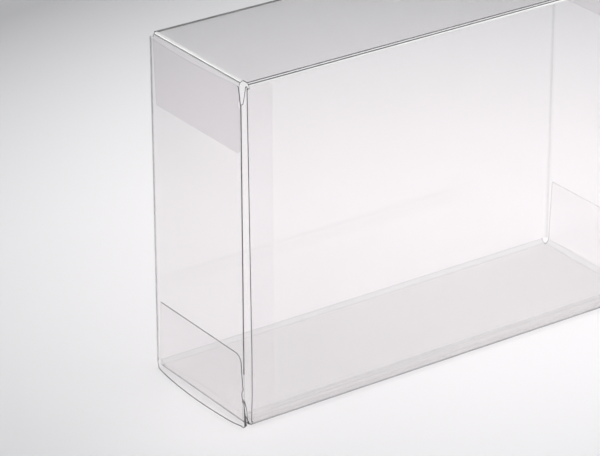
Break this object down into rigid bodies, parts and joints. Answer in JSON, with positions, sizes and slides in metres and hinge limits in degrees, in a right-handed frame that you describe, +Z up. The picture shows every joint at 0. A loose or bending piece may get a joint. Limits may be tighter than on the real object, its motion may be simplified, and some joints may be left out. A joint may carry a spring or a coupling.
{
  "type": "clear folding box",
  "caption": "Clear film folding carton standing on a long narrow side, with a tuck-in lid at each end, dust flaps and a glued seam.",
  "frame": {"origin": "middle of the base, at its lowest level", "axes": "+X along the box's length, -Y out of the front panel, +Z up; both lids hinge on the back panel's upright ends"},
  "size_m": [0.208, 0.068, 0.15],
  "materials": {
    "clear_film": "clear, smooth and glossy"
  },
  "bodies": {
    "sleeve": {"sleeve": "clear_film"},
    "left_lid": {"left_lid": "clear_film"},
    "right_lid": {"right_lid": "clear_film"}
  },
  "joints": [
    {"name": "left_lid_hinge", "type": "hinge", "parent": "sleeve", "child": "left_lid", "pos_m": [-0.104, 0.034, 0.075], "axis": [0, 0, -1], "range_deg": [0, 170]},
    {"name": "right_lid_hinge", "type": "hinge", "parent": "sleeve", "child": "right_lid", "pos_m": [0.104, 0.034, 0.075], "axis": [0, 0, 1], "range_deg": [0, 170]}
  ]
}
